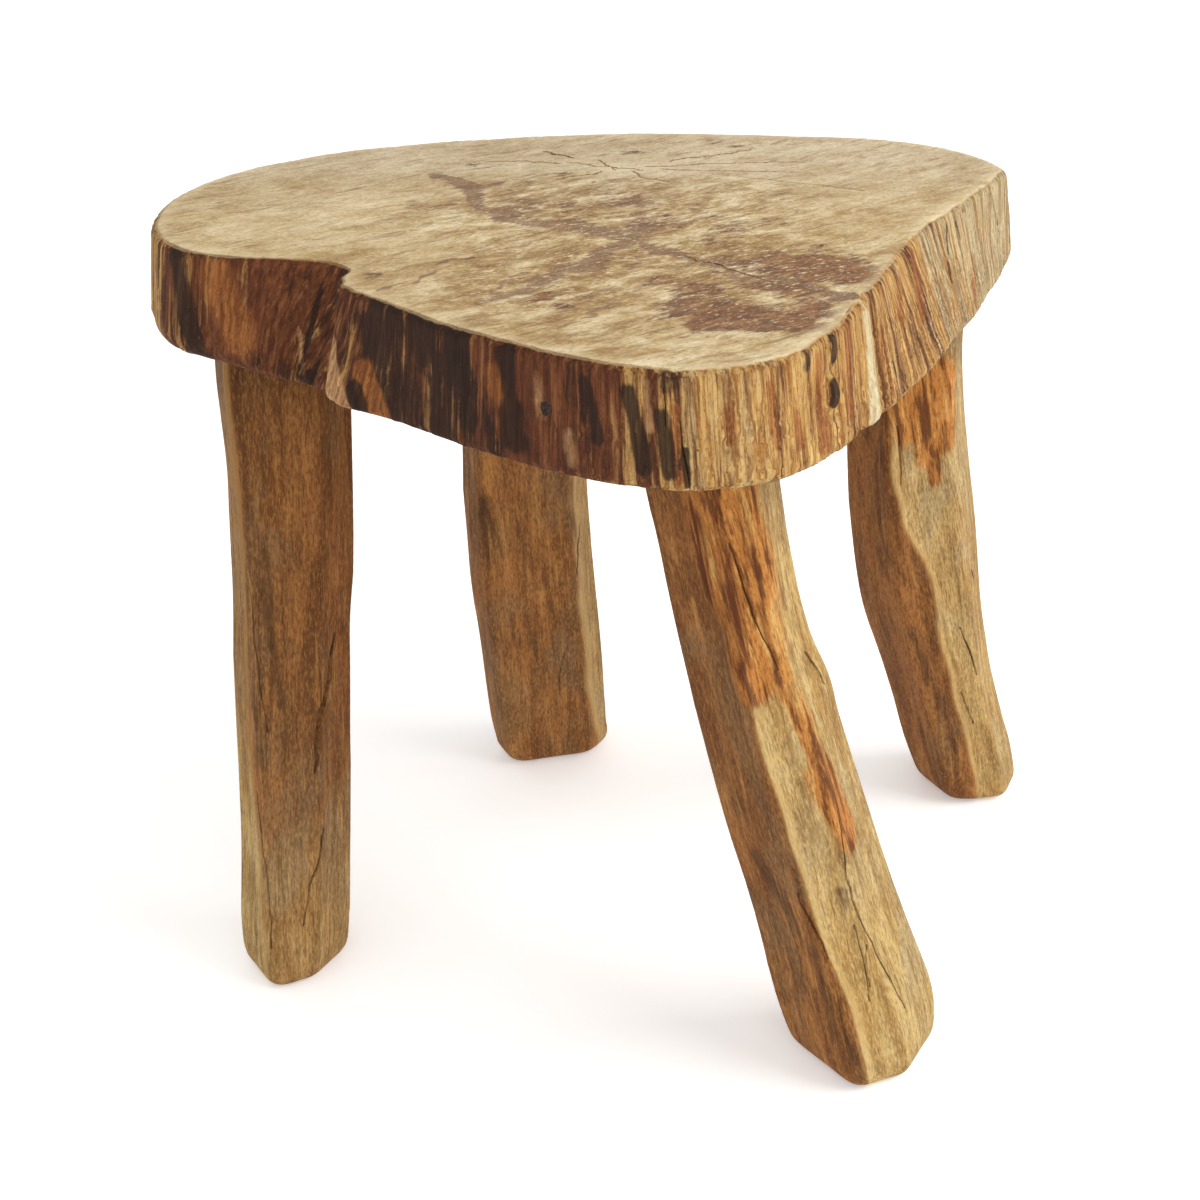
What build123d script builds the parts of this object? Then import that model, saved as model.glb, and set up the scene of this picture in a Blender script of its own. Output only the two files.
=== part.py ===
from build123d import *
import os

# A rustic four-legged milking stool: a cross-cut slab of a lobed trunk on four hewn, splayed legs.
# Each leg ends in a round tenon that is driven into a blind socket under the slab. A small wooden
# wedge, set in a saw kerf across the tenon's end, spreads the tenon as it is driven home. An iron
# nail through the slab's edge also pins the tenon of the front right leg.
#
# Millimetres. +Z is up, +X is to the right and the front faces -Y. The plan is drawn about the
# middle of the slab's top, and the finished parts are moved together so that the origin is on the
# floor, at the middle of the whole stool.

# Driving dimensions
seat_height = 340.0
seat_thickness = 45.0
seat_edge_round = 3.0
tenon_radius = 15.0
tenon_rise = 32.0  # how far the tenon's axis reaches above the underside of the slab
socket_play = 0.05  # radial, so the tenon is a tight push
socket_end_gap = 1.0
leg_corner_radius = 6.0
leg_half_width = 28.0  # about, for the share of it that the chamfer round the sole takes
sole_chamfer = 3.5
sole_chamfer_height = 5.0
kerf_depth = 20.0
kerf_root = 1.0  # the kerf's width at its bottom
kerf_mouth = 4.0  # and at the tenon's end, once the wedge has opened it
wedge_width = 25.0
nail_shank_radius = 1.7
nail_head_radius = 3.2
nail_head_thickness = 1.6
nail_length = 81.0
nail_point_length = 8.0
nail_point_radius = 0.3
nail_entry = (-18.5, -154)  # on the slab's front edge
nail_drop = 21.0  # below the slab's top
nail_sink = 2.0  # the head lies this far inside the slab's edge

underside = seat_height - seat_thickness

# The slab's outline, counter-clockwise from above: (x, y) on the top face, and how far the flared
# trunk has moved that point by the bottom face.
back_edge = [
    ((190, 97), (10, 18)),  # right corner
    ((184, 119), (6, 10)),
    ((162, 147), (6, 8)),
    ((113, 164), (3, 6)),
    ((40, 171), (0, 5)),
    ((-32, 164), (-2, 5)),
    ((-102, 143), (-4, 5)),
    ((-153, 109), (-6, 4)),
    ((-181, 69), (-4, 3)),
    ((-188, 20), (-4, 0)),  # left lobe
    ((-177, -18), (-3, -6)),
    ((-152, -38), (-3, -10)),
    ((-122, -43), (-6, -19)),
    ((-106, -47), (-8, -23)),
    ((-98, -58), (-8, -25)),  # the fold between the two front lobes
]
front_edge = [
    ((-98, -58), (-8, -25)),
    ((-99, -74), (-1, -18)),
    ((-88, -89), (2, -12)),
    ((-57, -121), (5, -7)),
    ((-22, -149), (4, -5)),
    ((8, -166), (3, -3)),
    ((38, -171), (3, -2)),
    ((66, -158), (4, -3)),
    ((88, -129), (4, -7)),
    ((99, -97), (8, -10)),  # the split between the front lobe and the flat right side
]
right_edge = [
    ((99, -97), (8, -10)),
    ((112, -66), (16, -6)),
    ((131, -14), (22, -4)),
    ((160, 40), (17, 3)),
    ((190, 97), (10, 18)),
]

# The legs. Corners go round each section as offsets from the leg's axis, first at the floor and
# then at the shoulder. Swell is (height, shift in x, shift in y, size) for the stations between.
legs = {
    "leg_front_left": {
        "foot": (-141, -47),
        "shoulder": (-138, 36),
        "floor_corners": [(-25, -3), (-7, -30), (12, -19), (24, 4), (12, 28), (-17, 22)],
        "shoulder_corners": [(-30, 0), (-20, -27), (18, -27), (30, 0), (18, 27), (-18, 27)],
        "swell": [
            (50, 1, 0, 1.02),
            (100, 1, 0, 1.02),
            (150, 1, 0, 1.0),
            (200, 2, 0, 0.98),
            (250, 0, 0, 1.01),
        ],
    },
    "leg_front_right": {
        "foot": (121, -116),
        "shoulder": (41, -90),
        "floor_corners": [(-34, 5), (-8, -29), (16, -20), (33, 11), (15, 30), (-17, 28)],
        "shoulder_corners": [(-26, 0), (-3, -27), (17, -22), (26, 2), (12, 26), (-16, 24)],
        "swell": [
            (50, 0, 0, 1.07),
            (100, -3, 0, 1.04),
            (150, -5, 0, 1.03),
            (200, -6, 0, 0.94),
            (250, -4, 0, 0.98),
        ],
    },
    "leg_back_right": {
        "foot": (201, 115),
        "shoulder": (140, 56),
        "floor_corners": [(-26, 2), (-11, -27), (19, -25), (29, -2), (16, 29), (-16, 28)],
        "shoulder_corners": [(-27, 0), (-8, -27), (20, -24), (28, 2), (14, 27), (-16, 26)],
        "swell": [
            (50, -5, 0, 1.04),
            (100, -10, -1, 1.05),
            (150, -12, -2, 1.08),
            (200, -10, -2, 1.06),
            (250, -6, -1, 1.03),
        ],
    },
    "leg_back_left": {
        "foot": (-24, 150),
        "shoulder": (-34, 70),
        "floor_corners": [(-32, -4), (-22, -24), (22, -11), (32, 5), (19, 30), (-19, 28)],
        "shoulder_corners": [(-30, 0), (-22, -25), (20, -22), (29, 2), (17, 27), (-18, 26)],
        "swell": [
            (50, -2, 0, 1.03),
            (100, -3, 0, 1.04),
            (150, -5, 0, 1.03),
            (200, -5, 0, 1.04),
            (250, -2, 0, 1.02),
        ],
    },
}


def slab_outline(height, share):
    """The slab's outline at a height, share of the way from the top face's shape to the bottom's."""
    curves = []
    for edge in (back_edge, front_edge, right_edge):
        points = [(x + share * dx, y + share * dy, height) for (x, y), (dx, dy) in edge]
        curves.append(Spline(*points))
    return make_face(curves)


def leg_axis(leg):
    """A point on the leg's axis at the underside of the slab, and the axis's direction, upwards."""
    low = Vector(*leg["foot"], 0)
    high = Vector(*leg["shoulder"], underside)
    return high, (high - low).normalized()


def leg_section(leg, height, shift=(0, 0), size=1.0):
    """The leg's hewn section at a height: a six-cornered polygon with rounded corners."""
    share = height / underside
    middle = [
        low + share * (high - low) + move
        for low, high, move in zip(leg["foot"], leg["shoulder"], shift)
    ]
    corners = [
        (low[0] + share * (high[0] - low[0]), low[1] + share * (high[1] - low[1]))
        for low, high in zip(leg["floor_corners"], leg["shoulder_corners"])
    ]
    points = [(middle[0] + size * x, middle[1] + size * y) for x, y in corners]
    outline = make_face(Polyline(*points, close=True))
    rounded = fillet(outline.vertices(), leg_corner_radius * min(size, 1.0))
    return Pos(0, 0, height) * rounded


def leg_blank(leg):
    """The leg without its tenon, from its flat sole to the shoulder."""
    first = leg_section(leg, sole_chamfer_height)
    stations = [leg_section(leg, h, (dx, dy), size) for h, dx, dy, size in leg["swell"]]
    body = loft([first, *stations, leg_section(leg, underside)])
    sole = leg_section(leg, 0, size=1 - sole_chamfer / leg_half_width)
    return body + loft([sole, first], ruled=True)


def along(point, direction):
    """A plane at a point whose Z axis runs in a direction, with its X axis kept level."""
    level = Vector(0, 0, 1).cross(direction).normalized()
    return Plane(origin=point, x_dir=level, z_dir=direction)


def tenon_length(leg):
    """From the shoulder to the tenon's end, along the leg's axis."""
    return tenon_rise / leg_axis(leg)[1].Z


def tapered_slot(width, length, root, mouth):
    """A wedge shape: its thin edge at the origin, growing along +Z, as wide as width in X."""
    sides = Polyline(
        (-root / 2, 0), (root / 2, 0), (mouth / 2, length), (-mouth / 2, length), close=True
    )
    return extrude(Plane.YZ * make_face(sides), width / 2, both=True)


def wedge_plane(leg):
    """Where the kerf starts in the tenon, looking along the axis."""
    point, direction = leg_axis(leg)
    return along(point + direction * (tenon_length(leg) - kerf_depth), direction)


def make_leg(leg):
    """A hewn leg with its round tenon and the kerf that takes the wedge."""
    point, direction = leg_axis(leg)
    inside = 20.0  # the tenon starts inside the blank, so the two fuse
    start = along(point - direction * inside, direction)
    tenon = start * extrude(Circle(tenon_radius), tenon_length(leg) + inside)
    above = tenon.split(Plane.XY.offset(underside), keep=Keep.TOP)
    kerf = wedge_plane(leg) * tapered_slot(4 * tenon_radius, kerf_depth, kerf_root, kerf_mouth)
    return leg_blank(leg) + above - kerf


def make_wedge(leg):
    """The hidden wedge that spreads the tenon. It fills the kerf's depth, inside the tenon's round."""
    return wedge_plane(leg) * tapered_slot(wedge_width, kerf_depth, kerf_root, kerf_mouth)


def socket(leg):
    """The blind hole for one tenon, with room past the tenon's end."""
    point, direction = leg_axis(leg)
    start = 15.0  # below the underside, so that the slanting bore opens fully
    bore = along(point - direction * start, direction)
    length = start + tenon_length(leg) + socket_end_gap
    return bore * extrude(Circle(tenon_radius + socket_play), length)


def nail_plane():
    """On the slab's edge, looking inwards along the nail, at the front right leg's tenon."""
    point, direction = leg_axis(legs["leg_front_right"])
    level = seat_height - nail_drop
    target = point + direction * ((level - underside) / direction.Z)
    head = Vector(*nail_entry, level)
    return along(head, (target - head).normalized())


def nail_shank(play):
    """The nail's shank and point, grown all round by some play."""
    straight = nail_length - nail_point_length
    shank = extrude(Circle(nail_shank_radius + play), straight)
    middle = straight + nail_point_length / 2
    point = Cone(nail_shank_radius + play, nail_point_radius + play, nail_point_length)
    return shank + Pos(0, 0, middle) * point


def make_nail():
    """An iron nail: a round head, a shank and a point."""
    place = nail_plane().offset(nail_sink)
    head = extrude(Circle(nail_head_radius), nail_head_thickness)
    return place * (head + nail_shank(0))


def nail_hole():
    """The hole that the nail has made, open for its sunken head."""
    play = 0.05
    outside = 12.0  # how far the cutting tool starts outside the head's place
    place = nail_plane().offset(nail_sink)
    mouth = extrude(Circle(nail_head_radius + play), outside + nail_head_thickness + play)
    return place * (Pos(0, 0, -outside) * mouth + nail_shank(play))


def make_seat():
    """The trunk slab with its worn top edge, four blind sockets and the nail's hole."""
    slab = loft([slab_outline(underside, 1.0), slab_outline(seat_height, 0.0)], ruled=True)
    rims = slab.faces().sort_by(Axis.Z)[-1].edges() + slab.faces().sort_by(Axis.Z)[0].edges()
    slab = fillet(rims, seat_edge_round)
    for leg in legs.values():
        slab -= socket(leg)
    return slab - nail_hole()


parts = {"seat": make_seat()}
for name, leg in legs.items():
    parts[name] = make_leg(leg)
    parts[name.replace("leg", "wedge")] = make_wedge(leg)
for name in ("leg_front_right", "wedge_front_right"):
    parts[name] -= nail_hole()
parts["nail"] = make_nail()

whole = Compound(list(parts.values())).bounding_box()
to_origin = Pos(-whole.center().X, -whole.center().Y, -whole.min.Z)
os.makedirs("parts", exist_ok=True)
for name, shape in parts.items():
    export_step(to_origin * shape, f"parts/{name}.step")
print("overall size", whole.size, "moved by", to_origin.position)
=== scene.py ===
import math

import bmesh
import bpy
import numpy as np
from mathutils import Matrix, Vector, kdtree, noise
from mathutils.bvhtree import BVHTree


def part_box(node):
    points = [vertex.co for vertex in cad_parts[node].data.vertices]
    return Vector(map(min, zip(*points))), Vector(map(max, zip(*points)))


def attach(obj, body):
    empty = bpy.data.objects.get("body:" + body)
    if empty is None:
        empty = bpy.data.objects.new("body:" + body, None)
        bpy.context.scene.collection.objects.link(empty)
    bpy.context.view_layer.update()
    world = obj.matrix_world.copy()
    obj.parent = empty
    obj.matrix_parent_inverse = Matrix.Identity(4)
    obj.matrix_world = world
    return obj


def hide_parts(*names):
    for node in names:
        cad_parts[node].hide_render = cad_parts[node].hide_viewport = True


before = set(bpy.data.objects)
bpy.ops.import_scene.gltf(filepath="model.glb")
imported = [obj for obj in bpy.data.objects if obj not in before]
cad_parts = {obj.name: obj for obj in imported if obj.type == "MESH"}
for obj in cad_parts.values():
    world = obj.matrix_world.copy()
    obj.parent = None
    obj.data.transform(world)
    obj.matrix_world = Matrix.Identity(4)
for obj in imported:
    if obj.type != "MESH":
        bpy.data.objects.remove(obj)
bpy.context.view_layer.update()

mm = 0.001
seatLow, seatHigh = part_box("seat")
seatTop = seatHigh.z
underside = seatLow.z

# places in mm, and the camera's tilt in degrees from straight down
cameraSet = dict(lens=60.0, sensor=36.0, place=(-15.9, -821.3, 575.8), tilt=63.435)
lightSet = dict(
    sky=0.80, skyColour=(1.0, 0.995, 0.985),
    keyPlace=(1250, -350, 1150), keySize=1.2, keyPower=18.0, keyColour=(1.0, 0.98, 0.95),
    frontPlace=(300, -1500, 900), frontSize=1.4, frontPower=3.0, frontColour=(1.0, 1.0, 1.0),
    aimShare=0.6,  # of the stool's height, where the lamps look
)


def makeCamera():
    lens = bpy.data.cameras.new("camera")
    lens.lens = cameraSet["lens"]
    lens.sensor_width = cameraSet["sensor"]
    lens.clip_start = 0.01
    camera = bpy.data.objects.new("camera", lens)
    camera.location = Vector(cameraSet["place"]) * mm
    camera.rotation_euler = (math.radians(cameraSet["tilt"]), 0, 0)
    bpy.context.scene.collection.objects.link(camera)
    bpy.context.scene.camera = camera


def makeLamp(name):
    lamp = bpy.data.lights.new(name + "Light", "AREA")
    lamp.size = lightSet[name + "Size"]
    lamp.energy = lightSet[name + "Power"]
    lamp.color = lightSet[name + "Colour"]
    holder = bpy.data.objects.new(name + "Light", lamp)
    holder.location = Vector(lightSet[name + "Place"]) * mm
    aim = Vector((0, 0, seatTop * lightSet["aimShare"])) - holder.location
    holder.rotation_euler = aim.to_track_quat("-Z", "Y").to_euler()
    bpy.context.scene.collection.objects.link(holder)


def makeStudio():
    world = bpy.data.worlds.new("softbox")
    world.use_nodes = True
    sky = world.node_tree.nodes["Background"]
    sky.inputs["Color"].default_value = (*lightSet["skyColour"], 1)
    sky.inputs["Strength"].default_value = lightSet["sky"]
    bpy.context.scene.world = world
    makeLamp("key")
    makeLamp("front")
    bpy.context.scene.view_settings.view_transform = "Standard"


class Value:
    # a shader socket that adds and multiplies like a number
    def __init__(self, finish, socket):
        self.finish = finish
        self.socket = socket

    def math(self, operation, *others):
        inputs = dict(enumerate([self, *others]))
        return self.finish.node("ShaderNodeMath", dict(operation=operation), inputs)

    def __add__(self, other):
        return self.math("ADD", other)

    def __sub__(self, other):
        return self.math("SUBTRACT", other)

    def __rsub__(self, other):
        return self.finish.node("ShaderNodeMath", dict(operation="SUBTRACT"), {0: other, 1: self})

    def __mul__(self, other):
        return self.math("MULTIPLY", other)

    __radd__ = __add__
    __rmul__ = __mul__

    def step(self, low, high):  # 0 below low, 1 above high, smooth between
        settings = dict(interpolation_type="SMOOTHSTEP")
        return self.finish.node("ShaderNodeMapRange", settings, {"Value": self, 1: low, 2: high})


class Finish:
    def __init__(self, name):
        self.material = bpy.data.materials.new(name)
        self.material.use_nodes = True
        self.tree = self.material.node_tree
        self.shader = self.tree.nodes["Principled BSDF"]
        self.place = self.node("ShaderNodeTexCoord", {}, {}, "Object")

    def node(self, kind, settings, inputs, output=0):
        made = self.tree.nodes.new(kind)
        for key, value in settings.items():
            if key == "stops":
                self.setRamp(made.color_ramp, value)
            else:
                setattr(made, key, value)
        for key, value in inputs.items():
            self.feed(made.inputs[key], value)
        return Value(self, made.outputs[output])

    def setRamp(self, ramp, stops):
        while len(ramp.elements) < len(stops):
            ramp.elements.new(1.0)
        for element, (position, colour) in zip(ramp.elements, stops):
            element.position = position
            element.color = (*colour, 1)

    def feed(self, socket, value):
        if isinstance(value, Value):
            self.tree.links.new(value.socket, socket)
        elif isinstance(value, tuple) and len(socket.default_value) == 4:
            socket.default_value = (*value, 1)
        else:
            socket.default_value = value

    def mix(self, amount, first, second):  # of two colours
        return self.node("ShaderNodeMix", dict(data_type="RGBA"), {0: amount, 6: first, 7: second}, 2)

    def coats(self, colour, *coats):  # each: a pattern, where it starts and is full, its share and colour
        for pattern, low, high, share, tone in coats:
            colour = self.mix(pattern.step(low, high) * share, colour, tone)
        return colour

    def stretch(self, vector, scale, turn=0.0, shift=(0, 0, 0)):
        # turned about Z by so many degrees first, so that a long pattern can lie across X
        if turn:
            inputs = {"Vector": vector, "Rotation": (0, 0, math.radians(-turn))}
            vector = self.node("ShaderNodeMapping", {}, inputs)
        return self.node("ShaderNodeMapping", {}, {"Vector": vector, "Scale": scale, "Location": shift})

    def noise(self, vector, scale, detail=3.0, rough=0.5, warp=0.0):
        inputs = {"Vector": vector, "Scale": scale, "Detail": detail, "Roughness": rough, "Distortion": warp}
        return self.node("ShaderNodeTexNoise", {}, inputs)

    def warp(self, vector, scale, amount):  # the place, shifted about by a soft noise
        inputs = {"Vector": vector, "Scale": scale, "Detail": 3.0}
        cloud = self.node("ShaderNodeTexNoise", {}, inputs, "Color")
        settings = dict(operation="MULTIPLY_ADD")
        return self.node("ShaderNodeVectorMath", settings, {0: cloud, 1: (amount, amount, amount), 2: vector})

    def attribute(self, name, output="Fac"):
        return self.node("ShaderNodeAttribute", dict(attribute_name=name), {}, output)

    def bump(self, height, distance, strength=1.0, under=None):
        inputs = {"Height": height, "Distance": distance, "Strength": strength}
        if under is not None:
            inputs["Normal"] = under
        return self.node("ShaderNodeBump", {}, inputs)


mergeGap = 0.002 * mm


def copyOf(nodeName, name):  # a CAD node's shape with its loose triangles joined
    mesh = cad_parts[nodeName].data.copy()
    mesh.name = name
    shape = bmesh.new()
    shape.from_mesh(mesh)
    bmesh.ops.remove_doubles(shape, verts=shape.verts, dist=mergeGap)
    shape.to_mesh(mesh)
    shape.free()
    mesh.materials.clear()
    piece = bpy.data.objects.new(name, mesh)
    bpy.context.scene.collection.objects.link(piece)
    return piece


def applyModifiers(piece):
    depsgraph = bpy.context.evaluated_depsgraph_get()
    mesh = bpy.data.meshes.new_from_object(piece.evaluated_get(depsgraph))
    piece.modifiers.clear()
    old = piece.data
    piece.data = mesh
    bpy.data.meshes.remove(old)


def voxelSkin(piece, size):
    remesh = piece.modifiers.new("skin", "REMESH")
    remesh.mode = "VOXEL"
    remesh.voxel_size = size
    applyModifiers(piece)


def cut(piece, blades):
    for blade in blades:
        opening = piece.modifiers.new("crack", "BOOLEAN")
        opening.operation = "DIFFERENCE"
        opening.solver = "MANIFOLD"
        opening.object = blade
    applyModifiers(piece)
    for blade in blades:
        bpy.data.objects.remove(blade)
    dropChips(piece.data)


chipVerts = 100  # a loose part with fewer corners than this is a splinter


def dropChips(mesh):  # removes splinters that the blades cut loose
    shape = bmesh.new()
    shape.from_mesh(mesh)
    unseen = set(shape.verts)
    chips = []
    while unseen:
        island = [unseen.pop()]
        for vert in island:
            for edge in vert.link_edges:
                other = edge.other_vert(vert)
                if other in unseen:
                    unseen.remove(other)
                    island.append(other)
        if len(island) < chipVerts:
            chips += island
    if chips:
        bmesh.ops.delete(shape, geom=chips, context="VERTS")
        shape.to_mesh(mesh)
    shape.free()


def pointsOf(mesh):
    flat = np.empty(len(mesh.vertices) * 3, np.float32)
    mesh.vertices.foreach_get("co", flat)
    return flat.reshape(-1, 3).astype(float)


def normalsOf(mesh):
    flat = np.empty(len(mesh.vertices) * 3, np.float32)
    mesh.vertices.foreach_get("normal", flat)
    return flat.reshape(-1, 3).astype(float)


def setPoints(mesh, points):
    mesh.vertices.foreach_set("co", points.astype(np.float32).ravel())
    mesh.update()


def paint(mesh, name, values, kind="FLOAT"):
    layer = mesh.attributes.new(name, kind, "POINT")
    field = "value" if kind == "FLOAT" else "vector"
    layer.data.foreach_set(field, values.astype(np.float32).ravel())


def smooth(values, low, high):
    share = np.clip((values - low) / (high - low), 0, 1)
    return share * share * (3 - 2 * share)


def ripple(points, scales, seed):
    scaled = points * np.array(scales) + seed
    return np.array([noise.noise(p) for p in scaled])


def toSegment(points, start, end):  # distance of each point to a straight stretch
    start, end = np.array(start, float), np.array(end, float)
    along = end - start
    share = np.clip((points - start) @ along / (along @ along), 0, 1)
    return np.linalg.norm(points - start - share[:, None] * along, axis=1)


def stray(route, seed, pace, reach):  # a crack's route in short steps that stray a little from side to side
    steps = []
    for start, end in zip(route, route[1:]):
        for share in (0, 0.25, 0.5, 0.75):
            x, y = [a + share * (b - a) for a, b in zip(start, end)]
            spot = Vector((x * pace[0] + seed, y * pace[1], seed))
            steps.append((x + reach[0] * noise.noise(spot), y + reach[1] * noise.noise(spot * 1.7)))
    return steps + [route[-1]]


bladeLift = 1.5 * mm  # how far a blade stands out of the skin that it cuts


def makeBlade(route, width, depth, inwards):
    # a V-shaped wedge pulled along a route on the surface: widest in the middle, nothing at its ends
    shape = bmesh.new()
    inwards = Vector(inwards).normalized()
    last = len(route) - 1
    tip = None
    for i, place in enumerate(route):
        before, after = route[max(i - 1, 0)], route[min(i + 1, last)]
        side = (after - before).cross(inwards).normalized()
        fullness = math.sin(math.pi * (i + 0.35) / (last + 0.7)) ** 0.7
        mouth = place - inwards * bladeLift
        spread = side * width * fullness
        corners = [mouth + spread, mouth - spread, place + inwards * depth * fullness]
        if tip is None:
            tip = shape.faces.new([shape.verts.new(corner) for corner in corners])
            continue
        made = bmesh.ops.extrude_face_region(shape, geom=[tip, *tip.edges, *tip.verts])["geom"]
        tip = next(item for item in made if isinstance(item, bmesh.types.BMFace))
        for vert, corner in zip(tip.verts, corners):
            vert.co = corner
    bmesh.ops.recalc_face_normals(shape, faces=shape.faces)
    mesh = bpy.data.meshes.new("blade")
    shape.to_mesh(mesh)
    shape.free()
    blade = bpy.data.objects.new("blade", mesh)
    bpy.context.scene.collection.objects.link(blade)
    return blade


def finishPiece(piece, material, nodeName):
    for face in piece.data.polygons:
        face.use_smooth = True
    piece.data.materials.clear()
    piece.data.materials.append(material)
    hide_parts(nodeName)
    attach(piece, "root")


makeCamera()
makeStudio()
print("camera and lights placed")


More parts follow.
